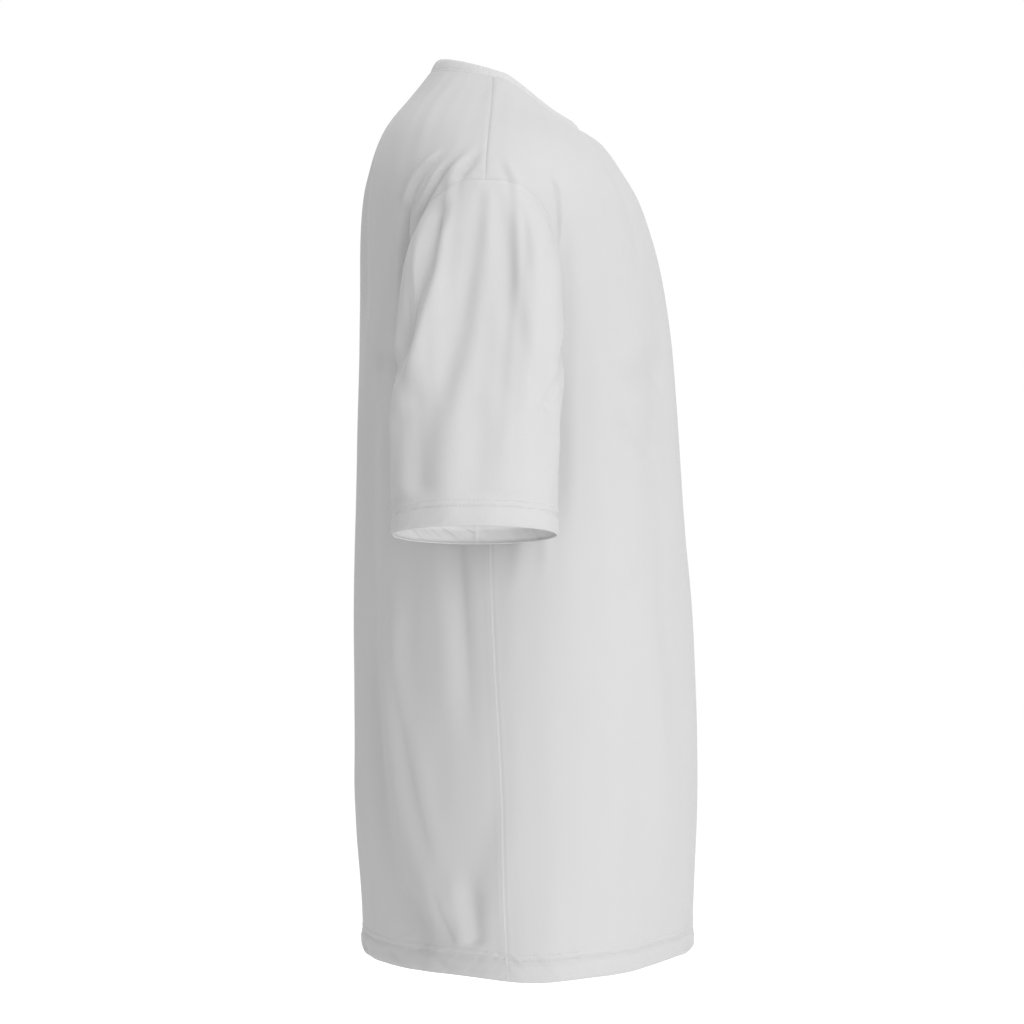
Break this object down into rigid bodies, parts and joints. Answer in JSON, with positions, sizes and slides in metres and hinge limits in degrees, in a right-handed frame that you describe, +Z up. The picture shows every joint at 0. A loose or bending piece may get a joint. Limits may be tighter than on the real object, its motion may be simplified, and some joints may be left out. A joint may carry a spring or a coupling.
{
  "type": "t-shirt",
  "caption": "Short-sleeved crew-neck t-shirt of smooth knit, hollow and filled out as if worn, open at the neck, the cuffs and the hem.",
  "frame": {"origin": "middle of the neck at the height of the neck ends of the two shoulder seams, where the wearer's shoulders hold the shirt up", "axes": "+Z up the shirt from hem to neck; the chest faces -Y; the wearer's right sleeve is at -X"},
  "size_m": [0.6388, 0.3011, 0.7807],
  "materials": {
    "jersey": "smooth, soft-sheen knit, light grey",
    "rib": "fine rib knit, light grey"
  },
  "bodies": {
    "root": {"front_panel": "jersey", "back_panel": "jersey", "sleeve_right": "jersey", "sleeve_left": "jersey", "collar_band": "rib"}
  },
  "joints": []
}
